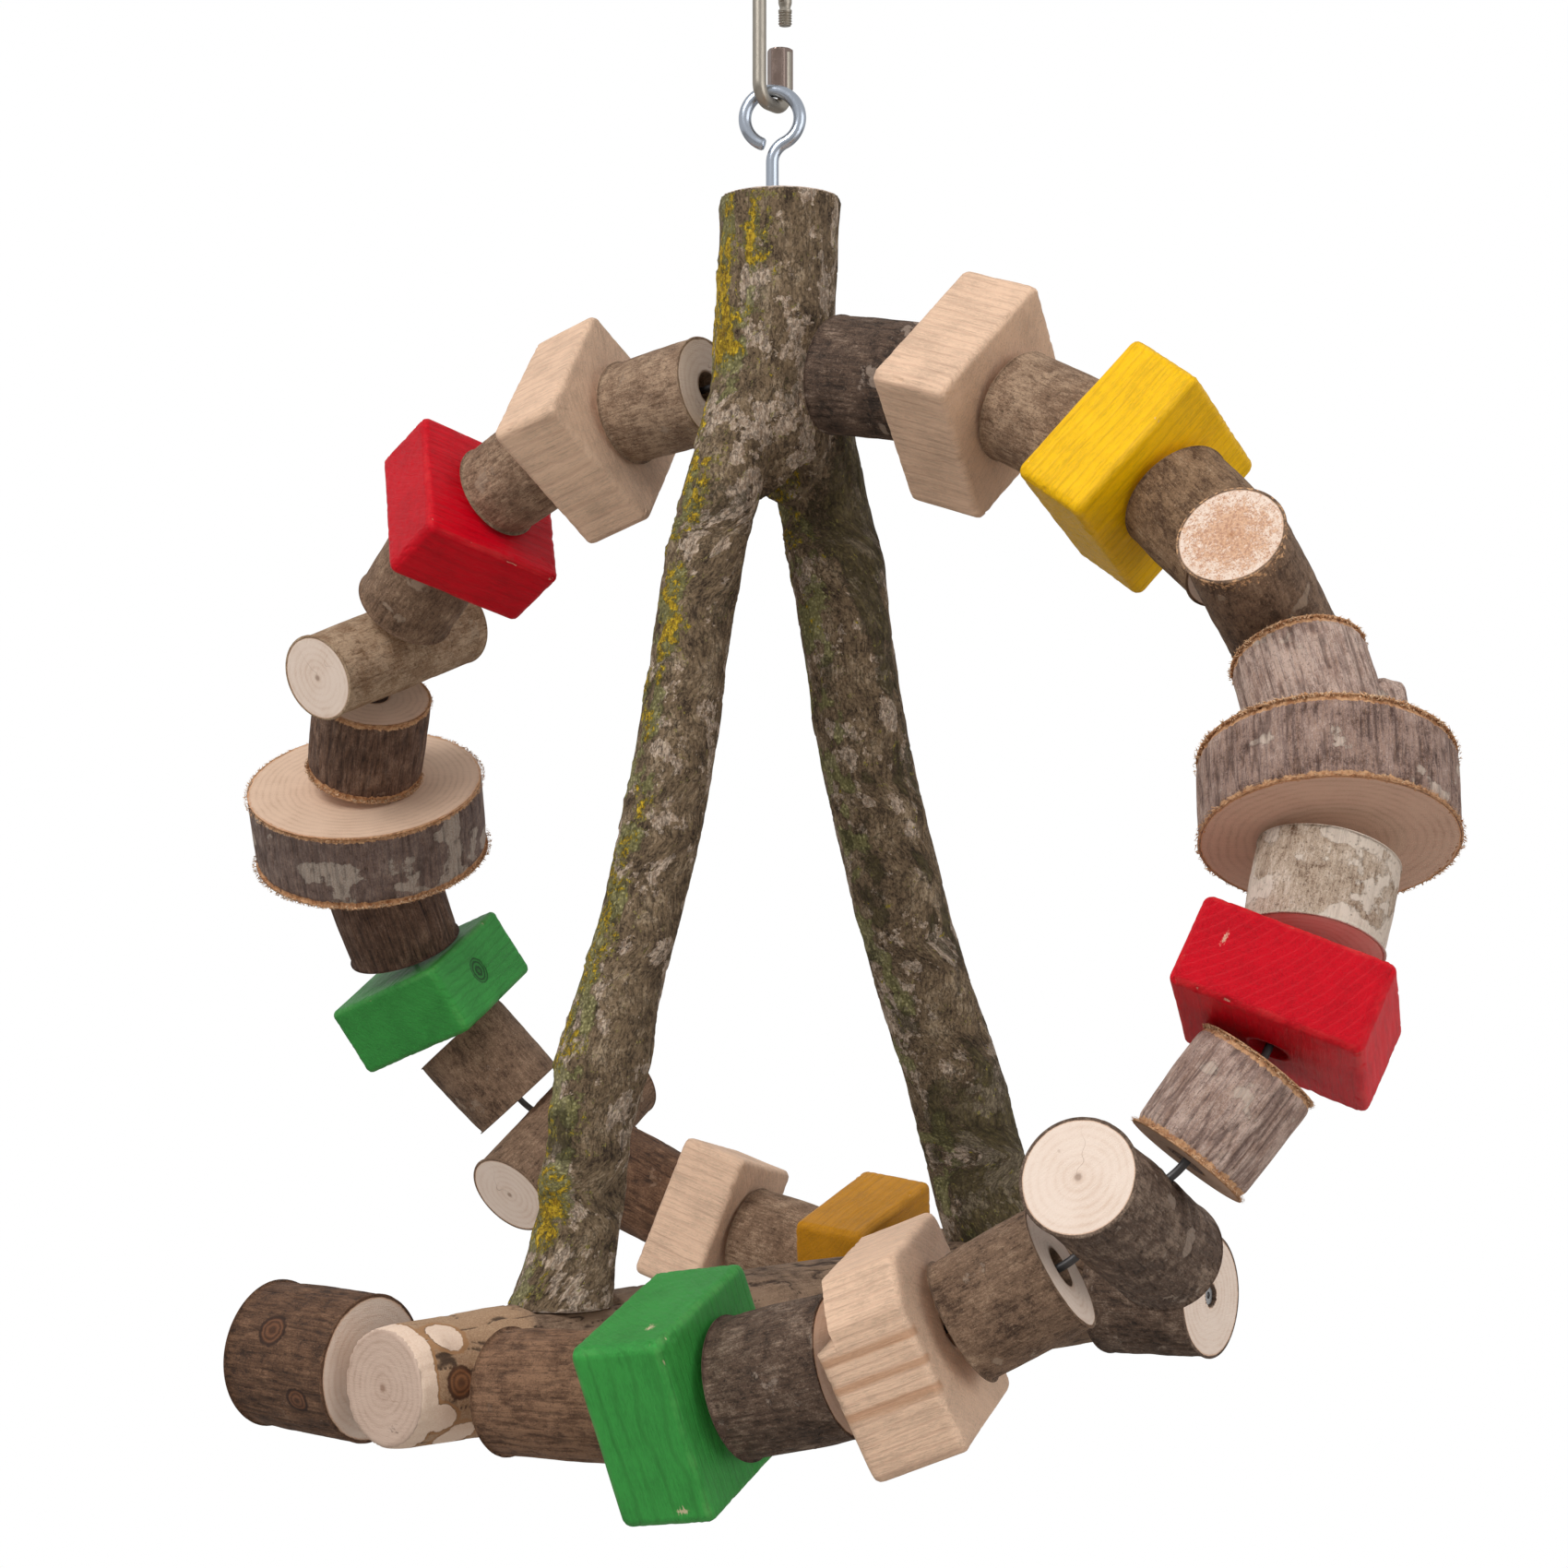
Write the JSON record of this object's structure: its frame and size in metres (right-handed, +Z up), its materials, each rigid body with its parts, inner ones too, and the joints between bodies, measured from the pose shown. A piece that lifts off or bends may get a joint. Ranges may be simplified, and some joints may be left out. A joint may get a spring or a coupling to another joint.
{
  "type": "bird swing",
  "caption": "Hanging bird swing: a forked branch on a steel eye, standing on a round perch, with log slices and dyed blocks threaded on a steel wire that spirals down both sides",
  "frame": {"origin": "the point inside the top of the quick link where a cage hook carries the swing", "axes": "+Z up, +X to the right as seen from the front, -Y towards the front; the wire leaves the trunk towards +X -Y on the right"},
  "size_m": [0.3867, 0.4517, 0.4748],
  "materials": {
    "link_steel": "zinc-plated round steel, slightly dulled and warm",
    "nut_steel": "zinc-plated hexagon nut with worn edges",
    "eye_zinc": "bright zinc with a blue tint",
    "wire_steel": "dull drawn wire",
    "crimp_metal": "pressed bright sleeve",
    "screw_zinc": "zinc-plated wood screw",
    "fork_bark": "grey-brown bark with pale patches, yellow lichen and green moss at the knots",
    "perch_bark": "thin bark, peeled pale in places, with cut knots",
    "dark_bark": "dark rough bark, pale sawn ends with growth rings",
    "grey_bark": "grey-brown bark with pale patches, sawn ends with growth rings",
    "ridged_bark": "ridged pinkish-grey bark, frayed at the sawn rims",
    "pale_bark": "whitish bark with dark specks and orange spots",
    "brown_bark": "rust-brown smooth bark, sawn ends with growth rings",
    "beech_wood": "bare pale wood with fine streaks",
    "yellow_wood": "bright yellow stain over visible grain",
    "red_wood": "red stain over visible grain, worn pink in places",
    "green_wood": "green stain over visible grain, chipped at the edges",
    "ochre_wood": "ochre-yellow stain over visible grain"
  },
  "bodies": {
    "link": {"quick_link": "link_steel"},
    "nut": {"link_nut": "nut_steel"},
    "swing_frame": {"eye_screw": "eye_zinc", "fork_branch": "fork_bark", "perch_bar": "perch_bark", "spiral_wire": "wire_steel", "right_crimp": "crimp_metal", "left_crimp": "crimp_metal", "thin_foot_screw": "screw_zinc", "thick_foot_screw": "screw_zinc"},
    "right_log_1": {"right_log_1": "dark_bark"},
    "right_block_2": {"right_block_2": "beech_wood"},
    "right_log_3": {"right_log_3": "grey_bark"},
    "right_block_4": {"right_block_4": "yellow_wood"},
    "right_log_5": {"right_log_5": "grey_bark"},
    "right_cross_log_6": {"right_cross_log_6": "grey_bark"},
    "right_log_7": {"right_log_7": "ridged_bark"},
    "right_disc_8": {"right_disc_8": "ridged_bark"},
    "right_log_9": {"right_log_9": "pale_bark"},
    "right_block_10": {"right_block_10": "red_wood"},
    "right_log_11": {"right_log_11": "ridged_bark"},
    "right_cross_log_12": {"right_cross_log_12": "dark_bark"},
    "right_log_13": {"right_log_13": "grey_bark"},
    "right_block_14": {"right_block_14": "beech_wood"},
    "right_log_15": {"right_log_15": "dark_bark"},
    "right_block_16": {"right_block_16": "green_wood"},
    "right_log_17": {"right_log_17": "brown_bark"},
    "right_end_log_18": {"right_end_log_18": "brown_bark"},
    "left_log_1": {"left_log_1": "grey_bark"},
    "left_block_2": {"left_block_2": "beech_wood"},
    "left_log_3": {"left_log_3": "grey_bark"},
    "left_block_4": {"left_block_4": "red_wood"},
    "left_log_5": {"left_log_5": "grey_bark"},
    "left_cross_log_6": {"left_cross_log_6": "grey_bark"},
    "left_log_7": {"left_log_7": "ridged_bark"},
    "left_disc_8": {"left_disc_8": "pale_bark"},
    "left_log_9": {"left_log_9": "grey_bark"},
    "left_block_10": {"left_block_10": "green_wood"},
    "left_log_11": {"left_log_11": "grey_bark"},
    "left_cross_log_12": {"left_cross_log_12": "grey_bark"},
    "left_log_13": {"left_log_13": "brown_bark"},
    "left_block_14": {"left_block_14": "beech_wood"},
    "left_log_15": {"left_log_15": "grey_bark"},
    "left_block_16": {"left_block_16": "ochre_wood"},
    "left_log_17": {"left_log_17": "grey_bark"},
    "left_end_log_18": {"left_end_log_18": "dark_bark"}
  },
  "joints": [
    {"name": "swing", "type": "hinge", "parent": "link", "child": "swing_frame", "pos_m": [0, 0, -0.04125], "axis": [0.309, 0.9511, 0], "range_deg": [-60, 60]},
    {"name": "nut_slide", "type": "slide", "parent": "link", "child": "nut", "axis": [0, 0, 1], "range_m": [0, 0.01]},
    {"name": "right_log_1_spin", "type": "hinge", "parent": "swing_frame", "child": "right_log_1", "pos_m": [0.03522, -0.02383, -0.13484], "axis": [0.8154, -0.5545, -0.1664], "continuous": true},
    {"name": "right_block_2_spin", "type": "hinge", "parent": "swing_frame", "child": "right_block_2", "pos_m": [0.06284, -0.04322, -0.14271], "axis": [0.7705, -0.5632, -0.2986], "continuous": true},
    {"name": "right_log_3_spin", "type": "hinge", "parent": "swing_frame", "child": "right_log_3", "pos_m": [0.08744, -0.06241, -0.15492], "axis": [0.6986, -0.5789, -0.4206], "continuous": true},
    {"name": "right_block_4_spin", "type": "hinge", "parent": "swing_frame", "child": "right_block_4", "pos_m": [0.1094, -0.08208, -0.17084], "axis": [0.6016, -0.5932, -0.535], "continuous": true},
    {"name": "right_log_5_spin", "type": "hinge", "parent": "swing_frame", "child": "right_log_5", "pos_m": [0.12722, -0.10178, -0.19032], "axis": [0.4828, -0.5991, -0.6388], "continuous": true},
    {"name": "right_cross_log_6_spin", "type": "hinge", "parent": "swing_frame", "child": "right_cross_log_6", "pos_m": [0.14184, -0.1233, -0.21535], "axis": [0.3263, -0.5882, -0.74], "continuous": true},
    {"name": "right_log_7_spin", "type": "hinge", "parent": "swing_frame", "child": "right_log_7", "pos_m": [0.1505, -0.14424, -0.24406], "axis": [0.1396, -0.5491, -0.824], "continuous": true},
    {"name": "right_disc_8_spin", "type": "hinge", "parent": "swing_frame", "child": "right_disc_8", "pos_m": [0.15221, -0.16132, -0.27202], "axis": [-0.0506, -0.4815, -0.875], "continuous": true},
    {"name": "right_log_9_spin", "type": "hinge", "parent": "swing_frame", "child": "right_log_9", "pos_m": [0.14773, -0.17462, -0.29911], "axis": [-0.2408, -0.3852, -0.8909], "continuous": true},
    {"name": "right_block_10_spin", "type": "hinge", "parent": "swing_frame", "child": "right_block_10", "pos_m": [0.13716, -0.18466, -0.32664], "axis": [-0.4331, -0.2549, -0.8645], "continuous": true},
    {"name": "right_log_11_spin", "type": "hinge", "parent": "swing_frame", "child": "right_log_11", "pos_m": [0.11908, -0.19037, -0.35466], "axis": [-0.614, -0.091, -0.784], "continuous": true},
    {"name": "right_cross_log_12_spin", "type": "hinge", "parent": "swing_frame", "child": "right_cross_log_12", "pos_m": [0.09295, -0.19033, -0.38183], "axis": [-0.7561, 0.0884, -0.6485], "continuous": true},
    {"name": "right_log_13_spin", "type": "hinge", "parent": "swing_frame", "child": "right_log_13", "pos_m": [0.06388, -0.1845, -0.403], "axis": [-0.8324, 0.2344, -0.5021], "continuous": true},
    {"name": "right_block_14_spin", "type": "hinge", "parent": "swing_frame", "child": "right_block_14", "pos_m": [0.0361, -0.17518, -0.41747], "axis": [-0.863, 0.3368, -0.3765], "continuous": true},
    {"name": "right_log_15_spin", "type": "hinge", "parent": "swing_frame", "child": "right_log_15", "pos_m": [0.00624, -0.16205, -0.42821], "axis": [-0.8708, 0.4188, -0.2575], "continuous": true},
    {"name": "right_block_16_spin", "type": "hinge", "parent": "swing_frame", "child": "right_block_16", "pos_m": [-0.02373, -0.14657, -0.43538], "axis": [-0.8635, 0.481, -0.1514], "continuous": true},
    {"name": "right_log_17_spin", "type": "hinge", "parent": "swing_frame", "child": "right_log_17", "pos_m": [-0.05672, -0.1268, -0.43889], "axis": [-0.8452, 0.5324, -0.0471], "continuous": true},
    {"name": "right_end_log_18_spin", "type": "hinge", "parent": "swing_frame", "child": "right_end_log_18", "pos_m": [-0.13413, -0.07454, -0.43725], "axis": [-0.8229, 0.5669, 0.0368], "continuous": true},
    {"name": "left_log_1_spin", "type": "hinge", "parent": "swing_frame", "child": "left_log_1", "pos_m": [-0.03457, 0.02337, -0.13465], "axis": [-0.8161, 0.5544, -0.1632], "continuous": true},
    {"name": "left_block_2_spin", "type": "hinge", "parent": "swing_frame", "child": "left_block_2", "pos_m": [-0.061, 0.04186, -0.14198], "axis": [-0.7746, 0.5622, -0.2896], "continuous": true},
    {"name": "left_log_3_spin", "type": "hinge", "parent": "swing_frame", "child": "left_log_3", "pos_m": [-0.08477, 0.06017, -0.15328], "axis": [-0.7082, 0.577, -0.4069], "continuous": true},
    {"name": "left_block_4_spin", "type": "hinge", "parent": "swing_frame", "child": "left_block_4", "pos_m": [-0.10617, 0.07892, -0.16802], "axis": [-0.6186, 0.5912, -0.5174], "continuous": true},
    {"name": "left_log_5_spin", "type": "hinge", "parent": "swing_frame", "child": "left_log_5", "pos_m": [-0.12433, 0.09825, -0.1866], "axis": [-0.5056, 0.599, -0.621], "continuous": true},
    {"name": "left_cross_log_6_spin", "type": "hinge", "parent": "swing_frame", "child": "left_cross_log_6", "pos_m": [-0.13975, 0.11966, -0.21081], "axis": [-0.355, 0.5917, -0.7238], "continuous": true},
    {"name": "left_log_7_spin", "type": "hinge", "parent": "swing_frame", "child": "left_log_7", "pos_m": [-0.14968, 0.1416, -0.24022], "axis": [-0.1653, 0.556, -0.8146], "continuous": true},
    {"name": "left_disc_8_spin", "type": "hinge", "parent": "swing_frame", "child": "left_disc_8", "pos_m": [-0.15213, 0.16071, -0.27104], "axis": [0.0437, 0.4844, -0.8738], "continuous": true},
    {"name": "left_log_9_spin", "type": "hinge", "parent": "swing_frame", "child": "left_log_9", "pos_m": [-0.14573, 0.17664, -0.30451], "axis": [0.2794, 0.3618, -0.8894], "continuous": true},
    {"name": "left_block_10_spin", "type": "hinge", "parent": "swing_frame", "child": "left_block_10", "pos_m": [-0.13125, 0.18743, -0.33726], "axis": [0.5044, 0.1961, -0.8409], "continuous": true},
    {"name": "left_log_11_spin", "type": "hinge", "parent": "swing_frame", "child": "left_log_11", "pos_m": [-0.10935, 0.19112, -0.36598], "axis": [0.6784, 0.0178, -0.7345], "continuous": true},
    {"name": "left_cross_log_12_spin", "type": "hinge", "parent": "swing_frame", "child": "left_cross_log_12", "pos_m": [-0.07962, 0.18816, -0.39233], "axis": [0.7985, -0.1609, -0.5801], "continuous": true},
    {"name": "left_log_13_spin", "type": "hinge", "parent": "swing_frame", "child": "left_log_13", "pos_m": [-0.04924, 0.17995, -0.41118], "axis": [0.8522, -0.292, -0.4341], "continuous": true},
    {"name": "left_block_14_spin", "type": "hinge", "parent": "swing_frame", "child": "left_block_14", "pos_m": [-0.0226, 0.16967, -0.42297], "axis": [0.8689, -0.377, -0.3206], "continuous": true},
    {"name": "left_log_15_spin", "type": "hinge", "parent": "swing_frame", "child": "left_log_15", "pos_m": [0.00536, 0.15633, -0.4314], "axis": [0.8694, -0.4449, -0.215], "continuous": true},
    {"name": "left_block_16_spin", "type": "hinge", "parent": "swing_frame", "child": "left_block_16", "pos_m": [0.03398, 0.14076, -0.43701], "axis": [0.8587, -0.4987, -0.1178], "continuous": true},
    {"name": "left_log_17_spin", "type": "hinge", "parent": "swing_frame", "child": "left_log_17", "pos_m": [0.06116, 0.12415, -0.43937], "axis": [0.842, -0.5384, -0.0338], "continuous": true},
    {"name": "left_end_log_18_spin", "type": "hinge", "parent": "swing_frame", "child": "left_end_log_18", "pos_m": [0.13413, 0.07454, -0.43725], "axis": [0.8229, -0.5669, 0.0368], "continuous": true}
  ]
}
